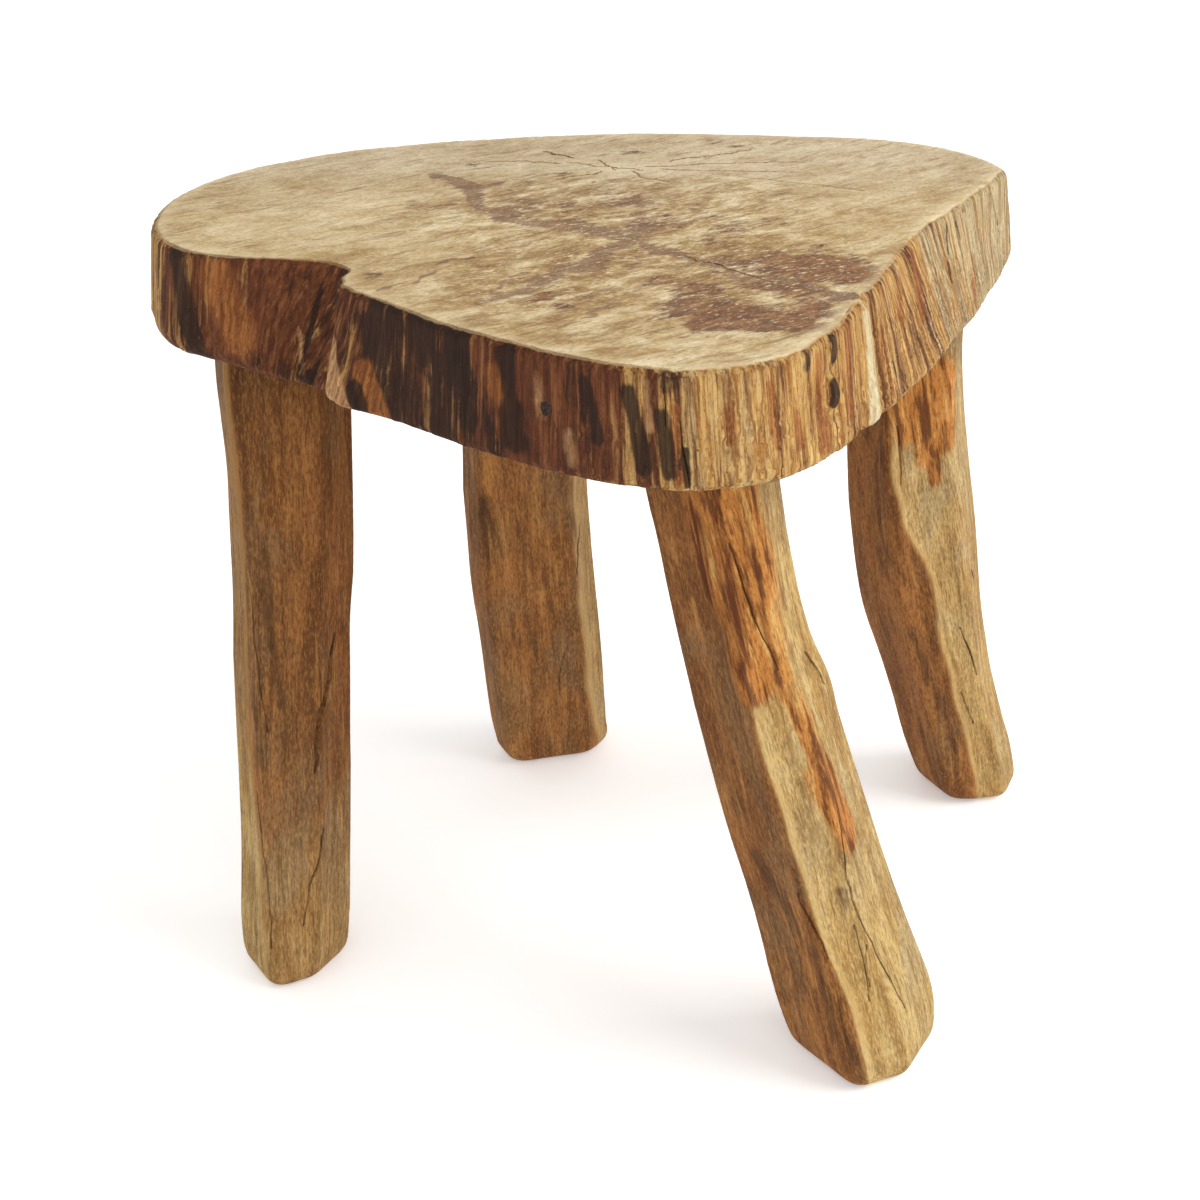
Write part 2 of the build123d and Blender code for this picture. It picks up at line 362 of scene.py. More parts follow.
# the slab seat: sizes are in metres, and its cracks, marks and stains in mm from slabMiddle
seatSet = dict(
    middle=(191.9 * mm, 173.2 * mm),  # from the low corner of its box
    voxel=1.7 * mm,
    fluteDepth=1.6 * mm, rightCalm=0.30,  # the right face is flatter
    foldReach=26 * mm, foldRidge=1.0 * mm, foldPace=1.45 * mm,
    sliverTop=(100.5, -95), sliverRun=(8.5, -15), sliverRise=2.6 * mm,
    sliverGrooves=[((-6, -7), 1.0, 2.0), ((4, 9), 1.5, 2.6)],  # beside it: shift, depth, reach
    barkKnots=[((86, -133, 336), 3.0, 1.0), ((88, -137, 319), 3.4, 2.2)],  # place, reach, rise
    topWear=0.35 * mm, rimReach=14 * mm, wornBand=20 * mm,
    lobeRound=11 * mm, lobeMiddle=(-115, 30),  # wear under the left lobe, towards its middle
    sawTurn=33,  # degrees from X that the saw's streaks run
    pithPlace=(18, 102),
    # drying cracks from the pith, and the long check along the right arm: route, half width, depth
    topCracks=[
        ([(-12, 112), (0, 106), (12, 101), (22, 98)], 0.2, 3),
        ([(24, 104), (40, 106), (56, 110), (80, 113), (98, 112)], 0.18, 3),
        ([(30, 99), (46, 98), (70, 95), (96, 94)], 0.18, 3),
        ([(10, 98), (5, 106), (2, 116)], 0.22, 3),
        ([(16, 96), (26, 84), (33, 76)], 0.22, 3),
        ([(4, 95), (-6, 88), (-18, 80)], 0.18, 3),
        ([(-26, 134), (-18, 126), (-10, 120)], 0.55, 4),
        ([(34, 114), (48, 122), (60, 128), (76, 140)], 0.18, 3),
        ([(34, -36), (48, -50), (62, -64), (70, -72)], 0.45, 6),
        ([(74, -75), (84, -82), (92, -87)], 0.25, 3),
        ([(-16, 110), (-34, 114), (-52, 112)], 0.16, 3),
        ([(70, 84), (100, 72), (120, 62)], 0.16, 3),
    ],
    # slits down the edge: route, half width, depth, which way is inwards
    edgeCracks=[
        ([(179, 73, 336), (181, 74, 330), (184, 78, 322), (186, 82, 313)], 1.1, 9, (-1, 0.55, 0)),
        ([(141, -6, 337), (144, -8, 330), (148, -8, 321)], 0.6, 6, (-1, 0.5, 0)),
        ([(163, 10, 312), (165, 12, 305), (167, 13, 299)], 0.7, 6, (-1, 0.5, 0)),
        ([(30, -172, 322), (31, -172.5, 312), (33, -173, 303), (34, -173.5, 296)], 0.45, 6, (-0.1, 1, 0)),
        ([(24, -172, 334), (25, -172, 327), (25, -172, 320)], 0.35, 4, (-0.1, 1, 0)),
    ],
    # how the grain leans down the wall, the fold's first: centre, reach, shift in x and y for each mm
    grainLeans=[
        ((-103, -62), 34, (0.36, -0.1)),
        ((55, -165), 60, (-0.09, -0.01)),
        ((112, -90), 50, (0.09, 0.19)),
        ((152, 5), 52, (0.1, 0.21)),
        ((190, 85), 40, (0.05, 0.12)),
    ],
    # where the end grain is browner: place, radius
    heartwood=[
        ((20, -15), 75), ((75, -70), 62), ((-20, 25), 55), ((40, 40), 50), ((-20, -70), 45),
    ],
    # stains on the top: from, to, half width, strength
    stainStrokes=[
        ((17, -8), (-16, 8), 8, 0.75), ((-16, 8), (-34, 18), 6, 0.8), ((-34, 18), (-46, 30), 5, 1.0),
        ((-46, 30), (-50, 50), 4, 1.0), ((-50, 50), (-56, 66), 5, 1.0), ((-56, 66), (-70, 84), 5, 1.0),
        ((-56, 66), (-36, 70), 3, 0.7), ((-46, 32), (-26, 30), 4, 0.7), ((17, -8), (0, -44), 6, 1.0),
        ((0, -44), (-16, -68), 6, 1.0), ((-16, -68), (-46, -100), 4, 0.8), ((17, -8), (38, -38), 5, 0.7),
        ((38, -38), (64, -64), 5, 0.75), ((64, -64), (98, -92), 5, 0.8), ((17, -8), (20, 12), 11, 0.75),
        ((10, -2), (-10, -2), 8, 0.5), ((6, 36), (24, 40), 6, 0.7), ((-8, 38), (-34, 42), 6, 0.55),
        ((4, -131), (22, -110), 1.1, 0.8), ((22, -116), (40, -91), 1.3, 0.8),
        ((-3, -116), (11, -100), 1.2, 0.75), ((-15, -128), (-2, -120), 1.0, 0.7),
        ((17, -139), (34, -121), 1.1, 0.75), ((-36, -78), (-21, -58), 1.2, 0.7),
        ((-56, -52), (-38, -24), 1.2, 0.6), ((37, -132), (51, -115), 1.1, 0.7),
        ((-76, -82), (-57, -62), 1.2, 0.7),
    ],
    # darker, redder patches: place, radius, strength
    stainPatches=[
        ((92, -58), 20, 0.95), ((76, -48), 16, 0.75), ((106, -64), 14, 0.9), ((68, -118), 18, 1.0),
        ((50, -112), 15, 0.9), ((38, -102), 14, 0.75), ((82, -104), 16, 0.85), ((40, -82), 14, 0.7),
        ((28, -72), 11, 0.7), ((56, -46), 14, 0.6), ((60, 2), 14, 0.5), ((78, 8), 10, 0.5),
        ((14, 44), 14, 0.4), ((-30, 102), 9, 0.3), ((74, -84), 16, 0.7), ((-5, -86), 11, 0.4),
        ((30, 14), 16, 0.5), ((50, 24), 12, 0.4), ((-8, 24), 13, 0.4), ((18, -40), 14, 0.4),
        ((-120, 10), 10, 0.3), ((-70, 40), 14, 0.3), ((150, 118), 9, 0.25), ((60, 152), 7, 0.4),
        ((100, 150), 7, 0.35), ((-81, -67), 8, 0.55), ((-61, 38), 8, 0.5), ((-19, -91), 8, 0.8),
        ((-11, -106), 6, 0.6), ((52, -16), 14, 0.45), ((-16, 89), 8, 0.45), ((12, 76), 9, 0.35),
        ((96, -30), 12, 0.45), ((88, 22), 10, 0.35), ((-54, 107), 7, 0.4), ((18, 130), 8, 0.4),
        ((52, 122), 9, 0.35), ((70, 146), 7, 0.45), ((-30, 70), 10, 0.4), ((6, 66), 11, 0.45),
    ],
    # marks down the debarked wall: from, to, half width, strength
    wallMarks=dict(
        ink=[
            ((-170, -28, 336), (-163, -40, 300), 6, 0.9), ((-108, -50, 336), (-117, -64, 298), 1.6, 1.0),
            ((-99, -76, 336), (-114, -66, 296), 2.2, 1.0), ((-93, -94, 304), (-91, -97, 298), 4, 1.0),
            ((-50, -128, 338), (-46, -132, 308), 8, 0.8), ((-31, -143, 337), (-28, -146, 302), 4, 1.0),
            ((-29, -146, 314), (-28, -146, 305), 7, 1.0), ((-4, -161, 321), (-3, -161, 316), 1.4, 0.8),
            ((-3, -161, 332), (2, -165, 312), 3, 0.8), ((12, -168, 331), (18, -171, 304), 3.2, 0.95),
            ((25, -171, 339), (26, -171, 334), 4, 0.7), ((24, -171, 324), (27, -172, 302), 3.0, 0.95),
            ((32, -173, 311), (33, -173, 298), 1.5, 1.0), ((77, -147, 339), (75, -150, 334), 3, 0.6),
            ((151, 21, 336), (151, 13, 326), 1.5, 0.8), ((151, 13, 326), (152, 5, 316), 1.5, 0.8),
            ((156, 29, 335), (159, 28, 325), 1.2, 0.7), ((100, -102, 330), (104, -111, 299), 2.4, 0.4),
            ((112, -84, 330), (119, -84, 298), 1.4, 0.85), ((-139, -54, 303), (-117, -64, 299), 5, 0.6),
            ((-165, -35, 323), (-161, -43, 298), 4, 0.5), ((86, -133, 340), (87, -133, 331), 2.2, 1.2),
            ((88, -137, 322), (88, -137, 316), 2.9, 1.3),
        ],
        rust=[
            ((-153, -40, 331), (-143, -50, 309), 8, 0.85), ((-89, -95, 311), (-82, -103, 296), 5, 1.0),
            ((47, -170, 324), (48, -170, 314), 2.5, 0.8), ((61, -163, 332), (64, -163, 309), 2, 0.9),
            ((82, -144, 334), (85, -145, 302), 4, 0.85), ((92, -120, 338), (95, -128, 308), 3.5, 0.9),
            ((28, -172, 327), (30, -173, 300), 1.8, 1.0), ((131, -22, 336), (133, -39, 315), 3, 0.8),
            ((123, -44, 335), (121, -60, 322), 3.5, 0.8), ((167, 35, 317), (165, 20, 301), 3.5, 0.65),
            ((152, -2, 310), (153, -7, 303), 1.6, 0.8), ((-37, -139, 327), (-32, -143, 318), 5, 0.7),
            ((111, -86, 326), (115, -90, 300), 2.0, 0.7), ((70, -155, 318), (73, -156, 306), 2.5, 0.7),
            ((98, -112, 322), (101, -116, 298), 3.0, 0.6),
        ],
        tan=[
            ((-104, -66, 326), (-105, -84, 296), 3.0, 1.2),
            ((-104, -76, 312), (-100, -90, 296), 6.0, 1.2),
            ((-120, -51, 327), (-115, -60, 312), 1.1, 0.7),
            ((-118, -56, 316), (-116, -65, 300), 1.2, 0.8), ((-20, -151, 331), (-18, -152, 316), 3, 0.5),
            ((18, -169, 335), (20, -170, 318), 2, 0.6), ((-9, -159, 312), (-7, -160, 301), 3, 0.4),
            ((-185, -9, 318), (-178, -20, 303), 7, 0.5),
        ],
    ),
    # zones round the debarked wall: x, y, gloom, redness, pallor
    wallZones=[
        (-192, 20, 0.42, 0.45, 0.1), (-182, -14, 0.4, 0.45, 0.1), (-168, -32, 0.5, 0.75, 0),
        (-152, -42, 0.34, 0.8, 0), (-130, -52, 0.42, 0.95, 0), (-112, -60, 0.5, 0.85, 0),
        (-104, -70, 0.5, 0.8, 0), (-98, -88, 0.62, 0.8, 0), (-80, -100, 0.82, 0.8, 0),
        (-58, -124, 0.84, 0.8, 0), (-36, -142, 0.55, 0.95, 0), (-18, -154, 0.46, 0.9, 0),
        (0, -166, 0.48, 0.85, 0), (16, -170, 0.3, 0.62, 0.1), (34, -173, 0.08, 0.28, 0.25),
        (52, -168, 0.06, 0.26, 0.3), (70, -158, 0.06, 0.3, 0.2), (86, -138, 0.09, 0.5, 0.1),
        (96, -118, 0.12, 0.56, 0), (112, -80, 0.14, 0.42, 0.2), (128, -40, 0.12, 0.42, 0.25),
        (150, 0, 0.1, 0.3, 0.6), (172, 40, 0.08, 0.24, 0.75), (190, 80, 0.06, 0.14, 0.95),
        (198, 110, 0.05, 0.12, 1.0), (170, 145, 0.2, 0.25, 0.5), (110, 166, 0.35, 0.4, 0.2),
        (40, 174, 0.4, 0.5, 0.1), (-32, 168, 0.45, 0.5, 0.1), (-104, 146, 0.5, 0.45, 0.1),
        (-160, 110, 0.5, 0.4, 0.1),
    ],
    # colours, the lighter one first where there are two
    tones=dict(
        endGrain=[
            (0.36, (0.86, 0.75, 0.53)), (0.44, (0.76, 0.63, 0.40)), (0.50, (0.61, 0.465, 0.255)),
            (0.55, (0.46, 0.31, 0.135)), (0.62, (0.31, 0.18, 0.072)), (0.70, (0.20, 0.105, 0.045)),
        ],
        greyBack=((0.67, 0.575, 0.415), (0.43, 0.325, 0.195)),
        smear=((0.80, 0.69, 0.46), (0.26, 0.150, 0.064)),
        streak=((0.78, 0.65, 0.42), (0.31, 0.19, 0.09)),
        speck=((0.82, 0.70, 0.47), (0.25, 0.145, 0.065)),
        cross=(0.22, 0.125, 0.055), thread=(0.29, 0.18, 0.09), pith=(0.72, 0.615, 0.43),
        # the last colour of the next line is painted shade along the top's cracks
        fleck=(0.82, 0.69, 0.46), pit=(0.17, 0.090, 0.040), crack=(0.14, 0.08, 0.045),
        patch=((0.27, 0.120, 0.050), (0.130, 0.058, 0.034)),
        stain=((0.31, 0.185, 0.105), (0.185, 0.105, 0.066)),
        gold=((0.58, 0.345, 0.115), (0.31, 0.130, 0.034)),
        tan=((0.52, 0.42, 0.245), (0.33, 0.21, 0.09)),
        redBrown=((0.20, 0.066, 0.026), (0.085, 0.027, 0.013)),
        lit=((0.58, 0.36, 0.14), (0.64, 0.52, 0.31)),  # golden, and paler where the wall is pale
        litRed=(0.25, 0.105, 0.045),
        ink=((0.042, 0.022, 0.016), (0.016, 0.010, 0.008)),
        rust=((0.42, 0.160, 0.046), (0.20, 0.062, 0.018)),
        ridge=((0.66, 0.380, 0.180), (0.42, 0.205, 0.090)),
        wallThread=(0.07, 0.030, 0.014), wallGrit=(0.055, 0.024, 0.012),
        sliver=((0.66, 0.56, 0.35), (0.48, 0.31, 0.12)),
        wornRim=(0.74, 0.61, 0.38), arris=((0.42, 0.22, 0.06), (0.17, 0.075, 0.025)),
    ),
)
slabMiddle = Vector((seatLow.x + seatSet["middle"][0], seatLow.y + seatSet["middle"][1], 0))


def plan(x, y, z=None):  # a place on the slab, in mm from its middle
    return slabMiddle + Vector((x * mm, y * mm, seatTop if z is None else z * mm))


def topCrackBlades():
    blades = []
    for route, width, depth in seatSet["topCracks"]:
        places = [plan(x, y) for x, y in stray(route, width * 9, (0.11, 0.11), (3.2, 3.2))]
        blades.append(makeBlade(places, width * mm, depth * mm, (0, 0, -1)))
    return blades


def edgeCrackBlades():
    blades = []
    for route, width, depth, inwards in seatSet["edgeCracks"]:
        places = [plan(*place) for place in route]
        blades.append(makeBlade(places, width * mm, depth * mm, inwards))
    return blades


def onTop(own):
    return own * np.array([1, 1, 0])


def treeOf(places):
    tree = kdtree.KDTree(len(places))
    for i, place in enumerate(places):
        tree.insert(place, i)
    tree.balance()
    return tree


class WallGrain:
    # the grain runs down the slab's wall, which flares outwards: each place is traced up to the top's outline
    def __init__(self, mesh):
        own = pointsOf(mesh) - np.array(slabMiddle)
        steep = np.abs(normalsOf(mesh)[:, 2]) < 0.6
        self.rims = []
        for level in (seatTop - 3 * mm, underside + 3 * mm):
            rim = own[steep & (np.abs(own[:, 2] - level) < 1.5 * mm)]
            self.rims.append(treeOf(onTop(rim)))

    def flare(self, own):
        flat = onTop(own)
        shift = np.zeros((len(own), 2))
        for i in np.flatnonzero(seatTop - own[:, 2] > 0.5 * mm):
            upper, lower = [rim.find(flat[i]) for rim in self.rims]
            share = math.exp(-((min(upper[2], lower[2]) / (18 * mm)) ** 2))
            shift[i] = (lower[0] - upper[0]).xy * share
        return shift / (seatTop - underside - 6 * mm)

    def at(self, own):
        drop = seatTop - own[:, 2]
        nearness = [
            np.exp(-((np.hypot(own[:, 0] - x * mm, own[:, 1] - y * mm) / (reach * mm)) ** 2))
            for (x, y), reach, lean in seatSet["grainLeans"]
        ]
        grain = own.copy()
        grain[:, :2] -= self.flare(own) * (drop * (1 - nearness[0]))[:, None]
        for near, (place, reach, lean) in zip(nearness, seatSet["grainLeans"]):
            grain[:, :2] += np.outer(drop * near, lean)
        return grain


def fromSliver(own):  # how far right of and behind the pale sliver's line, which leans to the right downwards
    share = (seatTop - own[:, 2]) / (seatTop - underside)
    (x, y), (runX, runY) = seatSet["sliverTop"], seatSet["sliverRun"]
    return own[:, 0] - (x + runX * share) * mm, own[:, 1] - (y + runY * share) * mm, share


def shapeSeat(mesh, wallGrain):
    points = pointsOf(mesh)
    normals = normalsOf(mesh)
    own = points - np.array(slabMiddle)
    height = points[:, 2]
    flatness = np.abs(normals[:, 2])
    wall = smooth(flatness, 0.75, 0.35)
    away = normals * np.array([1, 1, 0])
    away /= np.maximum(np.linalg.norm(away, axis=1), 1e-6)[:, None]
    grain = wallGrain.at(own)
    broad = ripple(grain, (48, 48, 5), 3.1)
    narrow = 1 - 2 * np.abs(ripple(grain, (130, 130, 12), 7.7))
    fine = ripple(grain, (330, 330, 30), 1.3)
    calm = 1 - seatSet["rightCalm"] * smooth(own[:, 0], 92 * mm, 120 * mm)
    flute = seatSet["fluteDepth"] * (0.9 * broad * calm + 0.35 * narrow * calm + 0.22 * fine)
    # strong fluted ridges in the fold between the front lobes
    foldX, foldY = seatSet["grainLeans"][0][0]
    fold = (own[:, 0] - foldX * mm) ** 2 + (own[:, 1] - foldY * mm) ** 2
    fold = np.exp(-fold / seatSet["foldReach"] ** 2)
    ridges = own[:, 0] * 0.75 - own[:, 1] * 0.65 + (height - seatTop) * 0.22
    flute += fold * np.sin(ridges / seatSet["foldPace"]) * seatSet["foldRidge"]
    # the pale sliver stands up beside the split, with a groove on either side of it
    acrossX, acrossY, share = fromSliver(own)
    width = (2.4 + 4.0 * share) * mm
    flute += seatSet["sliverRise"] * np.exp(-((np.hypot(acrossX, acrossY) / width) ** 2))
    for (x, y), depth, reach in seatSet["sliverGrooves"]:
        offset = np.hypot(acrossX - x * mm, acrossY - y * mm)
        flute -= depth * mm * np.exp(-((offset / (reach * mm)) ** 2))
    for place, reach, rise in seatSet["barkKnots"]:  # grown into the wall, each in a shallow ring
        offset = (own - np.array(place) * mm) * np.array([1, 1, 0.6]) / (reach * mm)
        offset = np.linalg.norm(offset, axis=1)
        flute += rise * mm * (np.exp(-(offset**2)) - 0.6 * np.exp(-((offset - 1.5) ** 2) * 4))
    push = away * (wall * flute)[:, None]
    # the border of the two flat faces goes along with the wall beside it
    onWall = np.flatnonzero(flatness < 0.4)
    wallTree = treeOf(points[onWall])
    for i in np.flatnonzero(flatness >= 0.4):
        spot, nearest, distance = wallTree.find(points[i])
        if distance < seatSet["rimReach"]:
            share = math.exp(-((distance / (0.45 * seatSet["rimReach"])) ** 2))
            push[i] = push[onWall[nearest]] * share
    moved = points + push
    # the top is worn a little uneven, and its rim more so
    top = smooth(normals[:, 2], 0.4, 0.8)
    moved[:, 2] += top * (seatSet["topWear"] * ripple(own, (22, 22, 22), 9.2) + 0.12 * mm * fine)
    rim = 1 - np.abs(2 * smooth(normals[:, 2], 0.1, 0.98) - 1)
    moved[:, 2] -= rim * mm * (0.4 + 1.2 * np.maximum(broad, 0) * calm + 0.6 * fine)
    # the underside of the left lobe is rounded off
    lobe = smooth(own[:, 0], -120 * mm, -160 * mm)
    low = np.clip(1 - (height - underside) / seatSet["lobeRound"], 0, 1)
    inward = lobe * (1 - np.sqrt(1 - low**2 * 0.98)) * seatSet["lobeRound"]
    towards = np.array(seatSet["lobeMiddle"]) * mm - own[:, :2]
    reach = np.linalg.norm(towards, axis=1)
    towards /= np.maximum(reach, 1e-6)[:, None]
    hold = smooth(reach, 5 * mm, 60 * mm)
    moved[:, :2] += towards * (inward * hold)[:, None]
    setPoints(mesh, moved)


def paintSeat(mesh, wallGrain):
    points = pointsOf(mesh)
    own = points - np.array(slabMiddle)
    flat = onTop(own)
    # the stains' borders wander
    flat[:, 0] += 9 * mm * ripple(flat, (38, 38, 0), 5.5) + 4 * mm * ripple(flat, (110, 110, 0), 2.5)
    flat[:, 1] += 9 * mm * ripple(flat, (38, 38, 0), 8.5) + 4 * mm * ripple(flat, (110, 110, 0), 6.5)
    stain = np.zeros(len(points))
    for start, end, reach, strength in seatSet["stainStrokes"]:
        away = toSegment(flat, (start[0] * mm, start[1] * mm, 0), (end[0] * mm, end[1] * mm, 0))
        stain = np.maximum(stain, strength * smooth(away, 1.7 * reach * mm, 0.2 * reach * mm))
    patch = np.zeros(len(points))
    for (x, y), reach, strength in seatSet["stainPatches"]:
        away = np.hypot(flat[:, 0] - x * mm, (flat[:, 1] - y * mm))
        patch = np.maximum(patch, strength * smooth(away, 1.5 * reach * mm, 0.3 * reach * mm))
    flat = onTop(own)
    # how near each place is to a crack on the top, for painted shade along the cracks
    crack = np.full(len(points), 1.0)
    for route, width, depth in seatSet["topCracks"]:
        for a, b in zip(route, route[1:]):
            away = toSegment(flat, (a[0] * mm, a[1] * mm, 0), (b[0] * mm, b[1] * mm, 0))
            crack = np.minimum(crack, away / (6 * mm))
    paint(mesh, "stain", stain)
    paint(mesh, "patch", patch)
    paint(mesh, "nearCrack", 1 - np.clip(crack, 0, 1))
    # how dark, red and pale the debarked wall is, blended from the zones round the slab
    zones = seatSet["wallZones"]
    nearness = np.array([
        1 / ((own[:, 0] / mm - zone[0]) ** 2 + (own[:, 1] / mm - zone[1]) ** 2 + 60) ** 1.7
        for zone in zones
    ])
    nearness /= nearness.sum(axis=0)
    for column, name in ((2, "gloom"), (3, "redness"), (4, "pallor")):
        paint(mesh, name, nearness.T @ np.array([zone[column] for zone in zones]))
    for name, marks in seatSet["wallMarks"].items():
        mask = np.zeros(len(points))
        for start, end, reach, strength in marks:
            away = toSegment(own, np.array(start) * mm, np.array(end) * mm)
            mask = np.maximum(mask, strength * smooth(away, 1.9 * reach * mm, 0.3 * reach * mm))
        paint(mesh, name, mask)
    # the brown heart of the end grain, paler sapwood outside it
    heart = np.zeros(len(points))
    for (x, y), reach in seatSet["heartwood"]:
        away = np.hypot(flat[:, 0] - x * mm, flat[:, 1] - y * mm)
        heart = np.maximum(heart, smooth(away, 1.35 * reach * mm, 0.45 * reach * mm))
    paint(mesh, "heart", heart)
    pithX, pithY = seatSet["pithPlace"]
    pith = np.hypot((flat[:, 0] - pithX * mm) / 1.8, flat[:, 1] - pithY * mm)
    paint(mesh, "pith", smooth(pith, 26 * mm, 6 * mm))
    # how near the top's rim a place is
    wallTree = treeOf(points[np.abs(normalsOf(mesh)[:, 2]) < 0.4])
    edge = np.zeros(len(points))
    for i in np.flatnonzero(points[:, 2] > seatTop - 3 * mm):
        edge[i] = wallTree.find(points[i])[2]
    paint(mesh, "rim", 1 - np.clip(edge / seatSet["wornBand"], 0, 1))
    # the wall's grain coordinate leans the way the wood does
    paint(mesh, "grain", wallGrain.at(own), "FLOAT_VECTOR")
    acrossX, acrossY, share = fromSliver(own)
    offset = np.hypot(acrossX, acrossY)
    paint(mesh, "sliver", smooth(offset, (3.6 + 5.0 * share) * mm, (1.2 + 2.4 * share) * mm))


def seatFinish():
    tones = seatSet["tones"]
    turn = seatSet["sawTurn"]
    wood = Finish("seatWood")
    place = wood.place
    normal = wood.node("ShaderNodeNewGeometry", {}, {}, "Normal")
    up = wood.node("ShaderNodeSeparateXYZ", {}, {0: normal}, "Z")
    soft = wood.noise(place, 90, 4, 0.6)
    topness = (up + (soft - 0.5) * 0.25).step(0.80, 0.94)

    # the sawn top: pale honey, greyer at the back, with streaks left by the saw and by wear
    back = wood.node("ShaderNodeSeparateXYZ", {}, {0: place}, "Y")
    front = (0 - back).step(0.05, 0.12)
    heart = wood.attribute("heart")
    drift = wood.warp(place, 22, 0.016)
    mottle = wood.noise(drift, 16, 5, 0.62)
    curd = wood.noise(wood.stretch(drift, (48, 85, 50), turn), 1.0, 9, 0.76, 0.3)
    blotch = wood.noise(wood.stretch(drift, (26, 60, 40), turn), 1.0, 7, 0.72, 0.3)
    smear = wood.noise(wood.stretch(drift, (34, 150, 40), turn, (4, 0, 1)), 1.0, 7, 0.74, 0.2)
    streak = wood.noise(wood.stretch(drift, (60, 620, 40), turn), 1.0, 5, 0.66)
    thread = wood.noise(wood.stretch(drift, (160, 1500, 60), turn), 1.0, 3, 0.60)
    cross = wood.noise(wood.stretch(drift, (32, 300, 30), turn + 8, (3, 1, 0)), 1.0, 6, 0.66)
    speck = wood.noise(wood.stretch(place, (520, 900, 520), turn), 1.0, 4, 0.65)
    tone = (curd - 0.5) * (heart * 0.60 + 0.34) + (mottle - 0.5) * 0.28 + heart * 0.022 + 0.508
    tone = tone + (blotch - 0.5) * front * 0.55
    base = wood.node("ShaderNodeValToRGB", dict(stops=tones["endGrain"]), {0: tone})
    base = wood.coats(
        base,
        (back, 0.0, 0.13, 0.75, wood.mix(tone.step(0.43, 0.60), *tones["greyBack"])),
        (smear + heart * 0.05, 0.54, 0.65, 0.60, tones["smear"][1]),
        (streak, 0.54, 0.68, 0.45, tones["streak"][1]),
        (cross, 0.57, 0.67, 0.60, tones["cross"]),
        (thread, 0.52, 0.66, 0.45, tones["thread"]),
        (1 - streak, 0.55, 0.68, 0.45, tones["streak"][0]),
        (1 - smear, 0.57, 0.67, 0.50, tones["smear"][0]),
    )
    base = wood.mix(wood.attribute("pith") * 0.55, base, tones["pith"])

    # stains soaked into the end grain, ragged at their borders
    ragged = wood.noise(wood.stretch(place, (90, 250, 60), turn), 1.0, 8, 0.74, 0.4)
    stain = wood.attribute("stain") + (ragged - 0.5) * 1.7 + (curd - 0.5) * 1.2
    inStain = stain.step(0.30, 0.66)
    inPatch = (wood.attribute("patch") + (ragged - 0.5) * 2.2).step(0.30, 0.70)
    base = wood.mix(inPatch * 0.94, base, wood.mix(ragged.step(0.42, 0.60), *tones["patch"]))
    base = wood.mix(inStain * 0.85, base, wood.mix(ragged.step(0.40, 0.62), *tones["stain"]))

    # cream flecks and dark pits lie along the streaks, thickest in the stained middle
    fleck = wood.noise(wood.stretch(place, (210, 620, 95), turn), 1.0, 3, 0.6)
    pit = wood.noise(wood.stretch(place, (160, 480, 95), turn, (9, 4, 2)), 1.0, 4, 0.65)
    middle = (heart + wood.noise(place, 14, 2, 0.5) - 0.5).step(0.25, 0.85)
    nearCrack = wood.attribute("nearCrack")
    base = wood.coats(
        base,
        (fleck, 0.60, 0.67, middle * 0.60 + 0.15, tones["fleck"]),
        (pit, 0.60, 0.69, middle * 0.35 + 0.40, tones["pit"]),
        (speck, 0.54, 0.66, 0.50, tones["speck"][1]),
        (1 - speck, 0.56, 0.68, 0.45, tones["speck"][0]),
        # painted shade along the cracks
        (nearCrack, 0.84, 1.0, ragged.step(0.40, 0.55) * 0.60, tones["crack"]),
    )

    # the debarked wall: vertical streaks, from gold through red-brown to nearly black
    grain = wood.attribute("grain", "Vector")
    bandRough = wood.noise(wood.stretch(grain, (95, 95, 8)), 1.0, 6, 0.66, 0.4)
    bandFine = wood.noise(wood.stretch(grain, (420, 420, 20)), 1.0, 6, 0.68, 0.2)
    bandThread = wood.noise(wood.stretch(grain, (1300, 1300, 46)), 1.0, 4, 0.62)
    shaggy = wood.noise(wood.stretch(grain, (70, 70, 34), shift=(2, 5, 1)), 1.0, 6, 0.70, 0.5)
    shaggy = (shaggy - 0.5) * 1.5 + (bandFine - 0.5) * 0.9
    grit = wood.noise(wood.stretch(grain, (1100, 1100, 500)), 1.0, 3, 0.6)
    redness = wood.attribute("redness")
    pallor = wood.attribute("pallor")
    gold = wood.mix(bandFine.step(0.42, 0.60), *tones["gold"])
    tan = wood.mix(bandFine.step(0.42, 0.60), *tones["tan"])
    gold = wood.mix((pallor + (bandRough - 0.5) * 2.4).step(0.2, 0.8), gold, tan)
    redBrown = wood.mix(bandFine.step(0.38, 0.62), *tones["redBrown"])
    redShare = (redness + (bandRough - 0.5) * 2.0 + (bandFine - 0.5) * 1.5).step(0.30, 0.80)
    wall = wood.mix(redShare, gold, redBrown)
    lit = wood.mix(redness.step(0.4, 0.7), wood.mix(pallor, *tones["lit"]), tones["litRed"])
    ink = wood.mix(bandThread.step(0.4, 0.6), *tones["ink"])
    gloom = wood.attribute("gloom") + shaggy * 1.1
    inked = wood.attribute("ink") + shaggy * 0.8
    fine = bandFine.step(0.40, 0.62)
    wall = wood.coats(
        wall,
        (1 - bandFine, 0.54, 0.66, 0.70, lit),
        (gloom, 0.48, 0.84, 0.90, ink),
        (wood.attribute("rust") + shaggy, 0.30, 0.75, 0.85, wood.mix(fine, *tones["rust"])),
        (wood.attribute("tan") + shaggy * 0.7, 0.30, 0.75, 0.88, wood.mix(fine, *tones["ridge"])),
        (inked, 0.42, 0.80, 0.90, ink),
        (bandThread, 0.50, 0.66, 0.52, tones["wallThread"]),
        (grit, 0.52, 0.70, 0.40, tones["wallGrit"]),
    )
    anyInk = gloom.step(0.48, 0.84).math("MAXIMUM", inked.step(0.42, 0.80))
